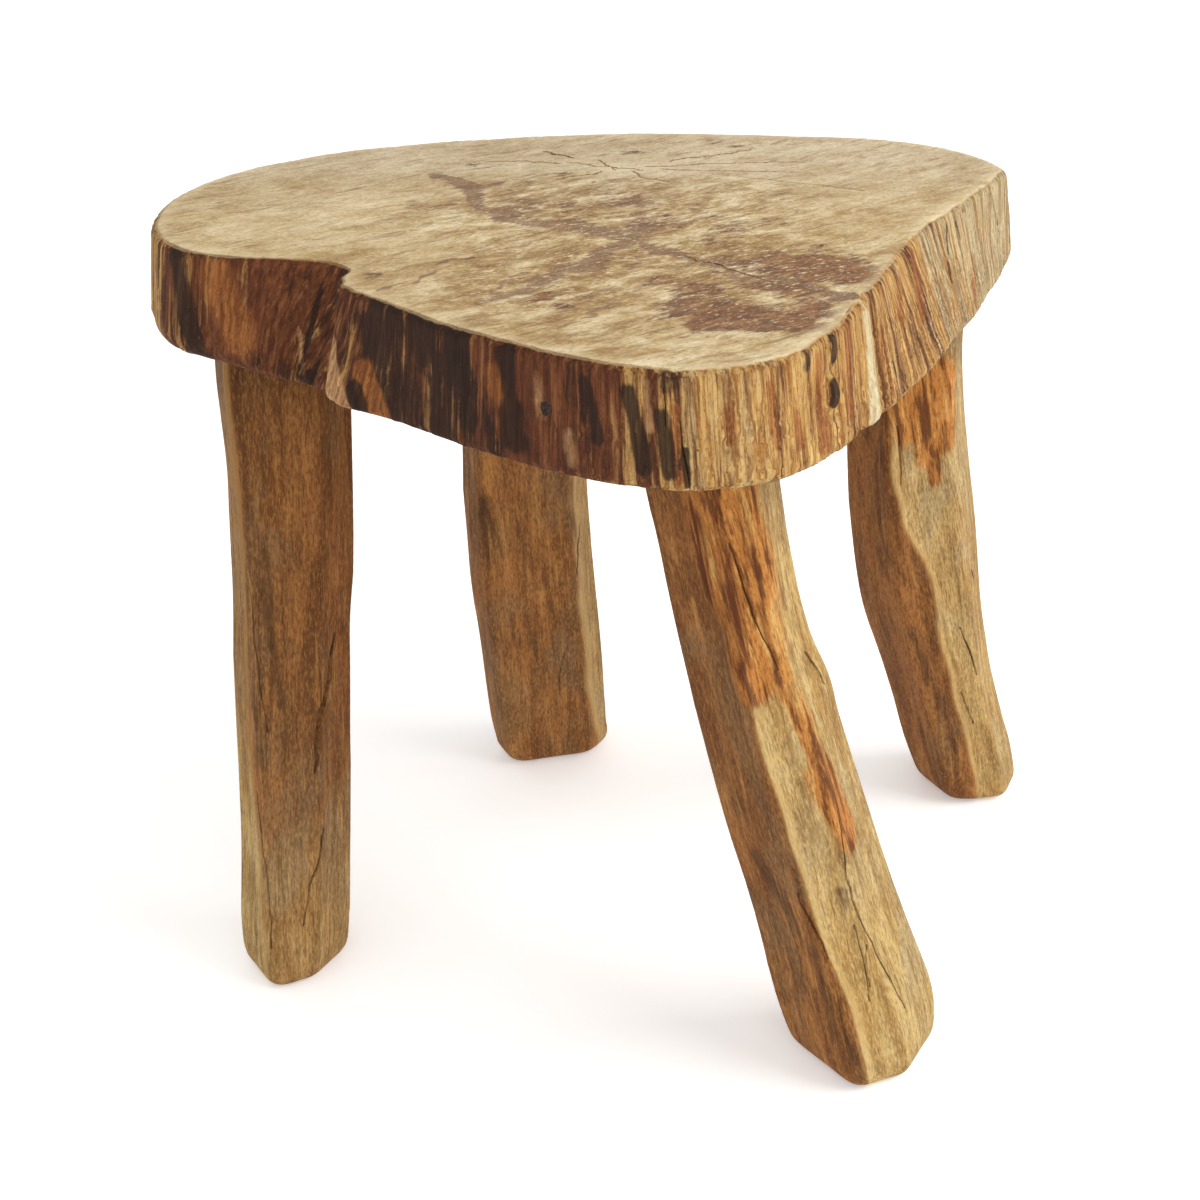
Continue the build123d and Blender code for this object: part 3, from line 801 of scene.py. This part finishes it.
    sliver = wood.attribute("sliver") + (bandFine - 0.5) * 1.7
    wall = wood.coats(
        wall,
        (1 - grit, 0.56, 0.70, (1 - anyInk) * 0.30, lit),
        (sliver, 0.30, 0.75, 0.90, wood.mix(bandFine.step(0.46, 0.60), *tones["sliver"])),
    )

    # the rim is worn pale, and where the wall is dark its very edge is rubbed to a golden line
    worn = (wood.attribute("rim") + (ragged - 0.5) * 0.9).step(0.45, 0.95)
    base = wood.mix(worn * (1 - inStain) * 0.55, base, tones["wornRim"])
    arris = topness * (1 - up.step(0.93, 0.985)) * redness.step(0.30, 0.55) * (0.5 + soft * 0.5)
    base = wood.mix(arris, base, wood.mix(soft.step(0.4, 0.6), *tones["arris"]))
    wood.feed(wood.shader.inputs["Base Color"], wood.mix(topness, wall, base))

    wood.feed(wood.shader.inputs["Roughness"], 0.74 + (streak - 0.5) * 0.25 - inPatch * 0.10)
    wood.shader.inputs["Specular IOR Level"].default_value = 0.10
    topHeight = streak * 0.7 + thread * 0.4 + ragged * 0.6 + cross * 0.5 + speck * 0.4
    wallHeight = bandFine * 1.3 + bandThread * 0.7 + bandRough * 1.2 + grit * 0.5
    topBump = wood.bump(topHeight * topness, 0.9 * mm, 1.0)
    wallBump = wood.bump(wallHeight * (1 - topness), 1.3 * mm, 1.0, topBump)
    wood.feed(wood.shader.inputs["Normal"], wallBump)
    return wood.material


def makeSeat():
    piece = copyOf("seat", "slab_seat")
    voxelSkin(piece, seatSet["voxel"])
    wallGrain = WallGrain(piece.data)
    shapeSeat(piece.data, wallGrain)
    print("slab shaped", len(piece.data.polygons))
    cut(piece, topCrackBlades() + edgeCrackBlades())
    print("slab cracked", len(piece.data.polygons))
    paintSeat(piece.data, wallGrain)
    finishPiece(piece, seatFinish(), "seat")


makeSeat()


# what all four legs share, in metres
legSet = dict(
    voxel=1.25 * mm,
    grooveDepth=0.35 * mm, scallopDepth=1.6 * mm, waveDepth=1.3 * mm,
    soleRound=7 * mm, soleShare=0.12,  # how the sole's border is worn
    footRub=0.5, footRubs=26, footReach=30 * mm,
    underSlabShadeReach=60 * mm,  # how far down the painted shade under the slab reaches
    # colours: on the brown sides, then on the pale sides
    tones=dict(
        base=((0.355, 0.147, 0.043), (0.60, 0.415, 0.160)),
        band=((0.180, 0.066, 0.019), (0.41, 0.240, 0.074)),
        grey=((0.215, 0.130, 0.062), (0.47, 0.37, 0.20)),
        warm=((0.300, 0.105, 0.032), (0.50, 0.29, 0.085)),
        mottle=((0.15, 0.062, 0.022), (0.27, 0.155, 0.055)),
        streak=((0.115, 0.048, 0.018), (0.25, 0.135, 0.045)),
        lit=((0.50, 0.235, 0.066), (0.68, 0.52, 0.25)),
        grit=((0.085, 0.034, 0.013), (0.22, 0.125, 0.048)),
        # the next tone is a painted golden highlight along the hewn ridge, on the brown sides and on the pale
        # sides
        crest=((0.50, 0.265, 0.085), (0.66, 0.46, 0.19)),
        # in the next line, the second colour is the painted shade under the slab
        thread=(0.12, 0.052, 0.020), shoulder=(0.08, 0.032, 0.014), pores=(0.10, 0.05, 0.02),
        rust=((0.50, 0.190, 0.040), (0.130, 0.038, 0.012)), rustGold=(0.66, 0.390, 0.125),
        rustGrit=(0.09, 0.028, 0.010), stain=((0.070, 0.032, 0.014), (0.085, 0.022, 0.008)),
        # painted shade in the cracks
        gap=(0.050, 0.022, 0.010),
    ),
)

# each leg's own shape and marks. A place is how far across (-1 at the left outline, 1 at the right), then
# the height in mm. pale is for the right side, the left side and the foot, the ridge is where the two sides
# meet, and lip is how far it stands out. Bumps: place, reach, rise. Stains: from, to, half width, strength.
# Cracks: route, half width, depth.
legFacts = {
    "leg_front_left": dict(
        seed=11.0, pale=(0.04, 0.36, 0.42), lip=0.8,
        ridge=[(-0.45, 0), (-0.55, 60), (-0.68, 120), (-0.7, 200), (-0.74, 295)],
        bumps=[((0.9, 165), 12, -1.6), ((-0.9, 205), 18, 1.6), ((0.3, 88), 14, 1.2)],
        stains=[((-0.34, 186), (-0.08, 132), 2.5, 0.6), ((-0.66, 182), (-0.42, 104), 3, 0.55),
                ((0.9, 172), (0.9, 155), 3, 0.7), ((0.45, 95), (0.45, 80), 5, 0.4),
                ((-0.2, 250), (0.1, 235), 9, 0.35), ((-0.75, 70), (-0.55, 8), 4, 0.4)],
        cracks=[
            ([(0.8, 156), (0.72, 138), (0.6, 122), (0.5, 100)], 2.2, 9),
            ([(0.64, 72), (0.55, 60), (0.42, 49), (0.28, 30)], 0.9, 6),
            ([(-0.62, 190), (-0.45, 150), (-0.3, 120)], 0.5, 4),
            ([(-0.55, 92), (-0.45, 66), (-0.32, 40), (-0.3, 22)], 0.5, 4),
        ],
        redStain=[],
    ),
    "leg_front_right": dict(
        seed=23.0, pale=(1.05, -0.02, 0.1), lip=1.0,
        ridge=[(-0.02, 0), (-0.04, 30), (-0.1, 80), (-0.13, 140), (-0.16, 200), (-0.22, 250),
               (-0.25, 295)],
        bumps=[((0.95, 178), 11, 3.0), ((0.9, 222), 24, 2.2), ((-0.9, 215), 22, 1.5),
               ((-0.6, 60), 20, -1.2), ((-0.7, 252), 12, -1.2), ((-0.8, 120), 16, 1.0)],
        stains=[((-0.7, 104), (-0.35, 66), 6, 0.7), ((-0.35, 70), (-0.2, 20), 6, 0.6),
                ((0.32, 96), (0.34, 90), 4, 0.6), ((-0.3, 260), (-0.12, 200), 6, 0.6),
                ((-0.06, 287), (-0.02, 200), 4, 0.65), ((0.36, 268), (0.46, 236), 3, 0.6),
                ((0.3, 224), (0.4, 200), 3, 0.6), ((0.48, 188), (0.5, 172), 3, 0.5)],
        cracks=[
            ([(0.62, 128), (0.52, 112), (0.44, 92), (0.48, 70), (0.56, 50), (0.62, 34)], 0.45, 5),
            ([(0.1, 250), (0.22, 225), (0.4, 196)], 0.5, 4),
            ([(-0.26, 98), (-0.2, 84), (-0.13, 68)], 0.9, 5),
            ([(0.42, 70), (0.28, 55), (0.22, 44)], 0.35, 3),
            ([(0.84, 196), (0.9, 186), (0.92, 180)], 0.9, 4),
            ([(0.35, 80), (0.32, 62), (0.28, 50)], 0.4, 3),
        ],
        redStain=[((0.02, 285), (0.24, 228), 15, 1.0), ((0.24, 228), (0.26, 200), 11, 1.0),
                  ((0.0, 285), (-0.02, 190), 8, 0.9), ((0.46, 240), (0.42, 206), 3, 0.6),
                  ((0.45, 195), (0.5, 172), 5, 1.0), ((0.5, 172), (0.6, 150), 6, 0.7),
                  ((0.58, 150), (0.66, 118), 8, 0.95)],
    ),
    "leg_back_right": dict(
        seed=37.0, pale=(0.62, 0.06, -0.02), lip=1.6,
        ridge=[(0.1, 0), (0.14, 80), (0.13, 130), (0.09, 150), (0.02, 163), (-0.12, 174), (-0.26, 186),
               (-0.35, 204), (-0.39, 232), (-0.4, 295)],
        bumps=[((-0.02, 172), 11, 2.6), ((-0.25, 205), 12, 2.0), ((0.25, 205), 16, -3.0),
               ((0.45, 96), 7, 1.2), ((-0.9, 120), 20, 1.4), ((0.9, 150), 34, 2.2),
               ((0.35, 150), 14, -1.6), ((0.02, 110), 12, 1.6)],
        stains=[((-0.55, 225), (-0.6, 150), 6, 0.6), ((0.0, 150), (0.05, 110), 6, 0.5),
                ((-0.3, 120), (-0.15, 40), 5, 0.6), ((0.45, 175), (0.5, 150), 5, 0.35)],
        cracks=[
            ([(0.5, 120), (0.62, 104), (0.66, 88)], 0.7, 5),
            ([(0.84, 150), (0.86, 142)], 0.9, 4),
            ([(0.3, 78), (0.34, 66), (0.36, 56)], 0.6, 4),
            ([(-0.28, 236), (-0.24, 220), (-0.26, 205)], 0.7, 4),
        ],
        redStain=[((-0.05, 262), (0.05, 236), 12, 1.05), ((0.5, 262), (0.42, 230), 11, 0.85),
                  ((0.25, 228), (0.32, 206), 4, 0.75), ((0.05, 235), (0.12, 216), 4, 0.7)],
    ),
    "leg_back_left": dict(
        seed=53.0, pale=(0.5, 0.2, 0.06), lip=0.8,
        ridge=[(0.8, 0), (0.74, 80), (0.76, 160), (0.8, 295)],
        bumps=[((-0.95, 200), 16, -1.4), ((-0.9, 120), 14, 1.2), ((0.5, 60), 14, 1.0)],
        stains=[((-0.75, 205), (-0.62, 150), 4, 0.55), ((-0.62, 150), (-0.4, 88), 4, 0.6),
                ((-0.5, 250), (-0.1, 225), 10, 0.4), ((0.8, 190), (0.78, 150), 3, 0.6),
                ((0.4, 78), (0.6, 52), 3, 0.45), ((0.1, 120), (-0.15, 60), 2, 0.4),
                ((-0.35, 205), (-0.1, 160), 2, 0.45)],
        cracks=[
            ([(0.86, 160), (0.8, 146), (0.78, 130)], 0.8, 5),
            ([(0.42, 80), (0.3, 62), (0.28, 50)], 0.35, 3),
        ],
        redStain=[],
    ),
}


class Leg:
    # finds places on a leg's skin and turns points into the leg's own grain coordinates
    def __init__(self, mesh):
        self.points = pointsOf(mesh)
        near = self.points[self.points[:, 2] < 12 * mm]
        far = self.points[np.abs(self.points[:, 2] - underside + 12 * mm) < 6 * mm]
        self.foot = near.mean(axis=0)
        axis = Vector(far.mean(axis=0) - self.foot).normalized()
        self.turn = axis.rotation_difference(Vector((0, 0, 1))).to_matrix()

    def grain(self, points):
        return (points - self.foot) @ np.array(self.turn).T

    def across(self, points):  # -1 at the leg's left outline to 1 at its right, at each height
        levels = np.arange(2, seatTop / mm, 6.0) * mm
        lows, highs = [], []
        for level in levels:
            near = self.points[np.abs(self.points[:, 2] - level) < 4 * mm]
            lows.append(near[:, 0].min() if len(near) else lows[-1])
            highs.append(near[:, 0].max() if len(near) else highs[-1])
        low = np.interp(points[:, 2], levels, lows)
        high = np.interp(points[:, 2], levels, highs)
        return (2 * points[:, 0] - low - high) / (high - low)

    def ridgeAt(self, points, ridge):
        line = np.interp(points[:, 2] / mm, [place[1] for place in ridge], [place[0] for place in ridge])
        return line + 0.05 * ripple(points, (8, 8, 45), 4.4)

    def rayPlace(self, tree, across, height):
        level = self.points[np.abs(self.points[:, 2] - height * mm) < 2 * mm]
        low, high = level[:, 0].min(), level[:, 0].max()
        x = (low + high) / 2 + across * (high - low) / 2 * 0.97
        place, normal, index, distance = tree.ray_cast(Vector((x, -1, height * mm)), Vector((0, 1, 0)))
        return place, normal


def skinTree(mesh):
    return BVHTree.FromPolygons([v.co for v in mesh.vertices], [p.vertices for p in mesh.polygons])


def crackRoute(route, facts):
    return stray(route, facts["seed"], (9, 0.11), (0.045, 0))


def shapeLeg(leg, mesh, facts):
    points = pointsOf(mesh)
    normals = normalsOf(mesh)
    grain = leg.grain(points)
    height = points[:, 2]
    seed = facts["seed"]
    tree = skinTree(mesh)
    # shallow scallops left by the axe and drawknife
    scaled = grain * np.array([34, 34, 13]) + seed
    near = np.array([noise.voronoi(p, distance_metric="DISTANCE")[0][0] for p in scaled])
    scallop = np.minimum(near, 0.9) ** 2 - 0.3
    wobble = ripple(grain, (16, 16, 9), seed)
    groove = ripple(grain, (210, 210, 9), seed + 2) + 0.5 * ripple(grain, (480, 480, 20), seed + 4)
    push = legSet["scallopDepth"] * scallop + legSet["waveDepth"] * wobble + legSet["grooveDepth"] * groove
    for (across, level), reach, rise in facts["bumps"]:
        place, normal = leg.rayPlace(tree, across, level)
        away = np.linalg.norm((points - np.array(place)) * np.array([1, 1, 0.6]), axis=1)
        push += rise * mm * np.exp(-((away / (reach * mm)) ** 2))
    if facts["ridge"]:
        beyond = leg.across(points) - leg.ridgeAt(points, facts["ridge"])
        front = smooth(-normals[:, 1], 0.0, 0.5)
        lip = np.exp(-((beyond / 0.13) ** 2)) - 1.1 * np.exp(-(((beyond - 0.30) / 0.20) ** 2))
        push += facts["lip"] * mm * lip * front
    below = smooth(height, underside - 1.0 * mm, underside - 8 * mm)
    above = smooth(height, 0.5 * mm, 10 * mm)
    moved = points + normals * (push * below * (0.25 + 0.75 * above))[:, None]
    # the sole's border is worn round
    low = np.clip(1 - height / legSet["soleRound"], 0, 1)
    share = legSet["soleShare"] * (1 - np.sqrt(1 - 0.99 * low**2))
    middle = leg.foot * np.array([1, 1, 0])
    moved[:, :2] += (middle[:2] - moved[:, :2]) * share[:, None]
    moved[:, 2] = np.where(height < 1 * mm, np.maximum(moved[:, 2], 0), moved[:, 2])
    # the foot is rubbed round
    edges = np.empty(len(mesh.edges) * 2, np.int32)
    mesh.edges.foreach_get("vertices", edges)
    first, second = edges.reshape(-1, 2).T
    degree = np.bincount(edges, minlength=len(points))[:, None]
    hold = (legSet["footRub"] * smooth(height, legSet["footReach"], 6 * mm))[:, None]
    count = len(points)
    for rub in range(legSet["footRubs"]):
        total = np.column_stack([
            np.bincount(first, moved[second, k], count) + np.bincount(second, moved[first, k], count)
            for k in range(3)
        ])
        moved += hold * (total / degree - moved)
    setPoints(mesh, moved)


def legBlades(leg, mesh, facts):
    tree = skinTree(mesh)
    leg.points = pointsOf(mesh)
    blades = []
    for route, width, depth in facts["cracks"]:
        hits = [leg.rayPlace(tree, across, height) for across, height in crackRoute(route, facts)]
        places = [place for place, normal in hits]
        inwards = -sum((normal for place, normal in hits), Vector())
        blades.append(makeBlade(places, width * mm, depth * mm, inwards))
    return blades


def strokes(leg, tree, points, marks):
    mask = np.zeros(len(points))
    for start, end, reach, strength in marks:
        away = toSegment(points, leg.rayPlace(tree, *start)[0], leg.rayPlace(tree, *end)[0])
        mask = np.maximum(mask, strength * smooth(away, 1.8 * reach * mm, 0.2 * reach * mm))
    return mask


def paintLeg(leg, mesh, facts):
    points = pointsOf(mesh)
    normals = normalsOf(mesh)
    tree = skinTree(mesh)
    leg.points = points
    right, left, foot = facts["pale"]
    # the sides turned towards the key light, to the right and front, take the pale tone: partly the hewn
    # wood's own tone, partly painted light; the others stay brown, partly painted shade
    towardLight = smooth(normals[:, 0] - 0.25 * normals[:, 1], 0.05, 0.45)
    if facts["ridge"]:  # on the front the two tones meet along a hewn ridge
        offset = leg.across(points) - leg.ridgeAt(points, facts["ridge"])
        front = smooth(-normals[:, 1], -0.1, 0.25)
        towardLight = front * smooth(offset, -0.04, 0.05) + (1 - front) * towardLight
        # a painted highlight along the front's hewn ridge, where the ridge catches the light
        paint(mesh, "crest", front * np.exp(-(((offset - 0.03) / 0.09) ** 2)))
    pale = right * towardLight + left * (1 - towardLight) + foot * smooth(points[:, 2], 160 * mm, 20 * mm)
    paint(mesh, "pale", pale)
    paint(mesh, "redStain", strokes(leg, tree, points, facts["redStain"]))
    paint(mesh, "stain", strokes(leg, tree, points, facts["stains"]))
    # painted shade along each crack's mouth
    legCrackShadeStrokes = []
    for route, width, depth in facts["cracks"]:
        steps = crackRoute(route, facts)
        legCrackShadeStrokes += [(start, end, 0.35 + 0.35 * width, 0.95) for start, end in zip(steps, steps[1:])]
    paint(mesh, "gap", strokes(leg, tree, points, legCrackShadeStrokes))
    # painted shade under the slab: darkest at the top of the leg, fading out further down
    paint(mesh, "shoulder", smooth(points[:, 2], underside - legSet["underSlabShadeReach"], underside))
    paint(mesh, "grain", leg.grain(points) + facts["seed"], "FLOAT_VECTOR")


def legFinish():
    tones = legSet["tones"]
    wood = Finish("legWood")
    grain = wood.attribute("grain", "Vector")
    band = wood.noise(wood.stretch(grain, (55, 55, 9)), 1.0, 6, 0.64, 0.9)
    fine = wood.noise(wood.stretch(grain, (260, 260, 26)), 1.0, 6, 0.66, 0.4)
    thread = wood.noise(wood.stretch(grain, (900, 900, 60)), 1.0, 4, 0.62)
    mottle = wood.noise(wood.stretch(grain, (30, 30, 22)), 1.0, 6, 0.66, 0.5)
    grit = wood.noise(wood.stretch(grain, (1300, 1300, 340)), 1.0, 3, 0.6)
    pores = wood.noise(wood.stretch(grain, (1500, 1500, 220)), 1.0, 2, 0.5)
    tint = wood.noise(wood.stretch(grain, (26, 26, 11), shift=(7, 2, 5)), 1.0, 4, 0.6, 0.8)
    ragged = wood.noise(wood.stretch(grain, (170, 170, 24), shift=(1, 2, 3)), 1.0, 6, 0.72, 0.6)

    # brown on the sides in shade and pale on the worn sides turned to the light, partly the wood's own tone
    # and partly painted light and shade: each tone is mixed between its two by this
    pale = wood.attribute("pale")
    paleShare = (pale + (mottle - 0.5) * 0.5 + (band - 0.5) * 0.3).step(0.15, 0.75)
    toned = {name: wood.mix(paleShare, *tones[name]) for name in (
        "base", "band", "grey", "warm", "mottle", "streak", "lit", "grit", "crest",
    )}
    # a painted golden highlight along the hewn ridge
    crest = wood.attribute("crest") + (fine - 0.5) * 1.4 + (band - 0.5) * 1.2
    colour = wood.coats(
        toned["base"],
        (band, 0.40, 0.60, 1.0, toned["band"]),
        (tint, 0.50, 0.64, 0.60, toned["grey"]),
        (1 - tint, 0.54, 0.66, 0.45, toned["warm"]),
        (mottle, 0.50, 0.64, 0.55, toned["mottle"]),
        (fine, 0.50, 0.66, 0.68, toned["streak"]),
        (1 - fine, 0.53, 0.68, 0.62, toned["lit"]),
        (thread, 0.50, 0.66, 0.50, tones["thread"]),
    )
    # painted shade under the slab
    colour = wood.mix(wood.attribute("shoulder") * 0.64, colour, tones["shoulder"])
    colour = wood.coats(
        colour,
        (grit, 0.50, 0.64, 0.50, toned["grit"]),
        (1 - grit, 0.52, 0.65, 0.38, toned["lit"]),
        (crest, 0.45, 1.05, 0.48, toned["crest"]),
    )

    # rust-coloured sap stains, with dark and golden threads in them
    redStain = wood.attribute("redStain")
    red = (redStain + (ragged - 0.5) * 1.7).step(0.25, 0.75)
    rustDark = ((fine - 0.5) * 1.4 + (ragged - 0.5) * 1.2 + redStain * 0.03).step(0.0, 0.22)
    golden = (0.5 - fine) * 1.0 + (0.5 - ragged) * 1.2 + (0.5 - thread) * 0.6
    rust = wood.coats(
        wood.mix(rustDark, *tones["rust"]),
        (golden, 0.02, 0.22, 0.80, tones["rustGold"]),
        (grit, 0.50, 0.66, 0.45, tones["rustGrit"]),
    )
    colour = wood.mix(red * 0.9, colour, rust)
    stain = wood.attribute("stain") + (fine - 0.5) * 1.4 + (mottle - 0.5) * 0.8
    # painted shade in the cracks
    gap = wood.attribute("gap") + (fine - 0.5) * 1.4
    colour = wood.coats(
        colour,
        (stain, 0.30, 0.85, 0.75, wood.mix(red, *tones["stain"])),
        (pores, 0.62, 0.75, 0.25, tones["pores"]),
        (gap, 0.35, 0.85, 0.75, tones["gap"]),
    )
    wood.feed(wood.shader.inputs["Base Color"], colour)

    wood.feed(wood.shader.inputs["Roughness"], 0.72 + (fine - 0.5) * 0.3)
    wood.shader.inputs["Specular IOR Level"].default_value = 0.10
    height = band * 1.2 + fine * 1.3 + thread * 0.5 + mottle * 0.8 + grit * 0.35
    wood.feed(wood.shader.inputs["Normal"], wood.bump(height, 1.6 * mm, 1.0))
    return wood.material


def makeLegs():
    finish = legFinish()
    for nodeName, facts in legFacts.items():
        piece = copyOf(nodeName, nodeName.replace("leg", "hewn_leg"))
        voxelSkin(piece, legSet["voxel"])
        leg = Leg(piece.data)
        shapeLeg(leg, piece.data, facts)
        cut(piece, legBlades(leg, piece.data, facts))
        paintLeg(leg, piece.data, facts)
        finishPiece(piece, finish, nodeName)
        print(nodeName, "hewn", len(piece.data.polygons))


makeLegs()


# the wedges and the nail keep their own shapes and only get a finish
wedgeSet = dict(tones=((0.62, 0.44, 0.24), (0.38, 0.23, 0.10)), fibreDepth=0.3 * mm)
nailSet = dict(tones=((0.018, 0.012, 0.010), (0.075, 0.030, 0.014)), crustDepth=0.25 * mm)  # iron, then rust


def wedgeFinish():
    wood = Finish("wedgeWood")
    fibre = wood.noise(wood.stretch(wood.place, (400, 400, 40)), 1.0, 4, 0.6)
    wood.feed(wood.shader.inputs["Base Color"], wood.mix(fibre, *wedgeSet["tones"]))
    wood.feed(wood.shader.inputs["Roughness"], 0.65 + (fibre - 0.5) * 0.2)
    wood.feed(wood.shader.inputs["Normal"], wood.bump(fibre, wedgeSet["fibreDepth"]))
    return wood.material


def nailFinish():
    iron = Finish("rustedIron")
    crust = iron.noise(iron.place, 900, 5, 0.65)
    scale = iron.noise(iron.place, 2600, 3, 0.6)
    colour = iron.mix(crust.step(0.4, 0.65), *nailSet["tones"])
    iron.feed(iron.shader.inputs["Base Color"], colour)
    iron.feed(iron.shader.inputs["Metallic"], 0.6 - crust.step(0.35, 0.7) * 0.5)
    iron.feed(iron.shader.inputs["Roughness"], 0.55 + crust * 0.35)
    iron.feed(iron.shader.inputs["Normal"], iron.bump(crust + scale * 0.5, nailSet["crustDepth"]))
    return iron.material


def finishHidden():
    wedge = wedgeFinish()
    for nodeName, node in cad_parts.items():
        if nodeName.startswith("wedge"):
            node.material_slots[0].material = wedge
    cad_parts["nail"].material_slots[0].material = nailFinish()


finishHidden()
print("wedges and nail finished")


floorSet = dict(reach=40.0, colour=(0.98, 0.98, 0.98), roughness=0.9, glow=0.28)


def makeFloor():
    shape = bmesh.new()
    bmesh.ops.create_grid(shape, x_segments=1, y_segments=1, size=floorSet["reach"])
    mesh = bpy.data.meshes.new("floor")
    shape.to_mesh(mesh)
    shape.free()
    floor = bpy.data.objects.new("floor", mesh)
    bpy.context.scene.collection.objects.link(floor)
    paper = bpy.data.materials.new("paper")
    paper.use_nodes = True
    inputs = paper.node_tree.nodes["Principled BSDF"].inputs
    inputs["Base Color"].default_value = (*floorSet["colour"], 1)
    inputs["Roughness"].default_value = floorSet["roughness"]
    inputs["Emission Color"].default_value = (1, 1, 1, 1)
    inputs["Emission Strength"].default_value = floorSet["glow"]
    mesh.materials.append(paper)


makeFloor()
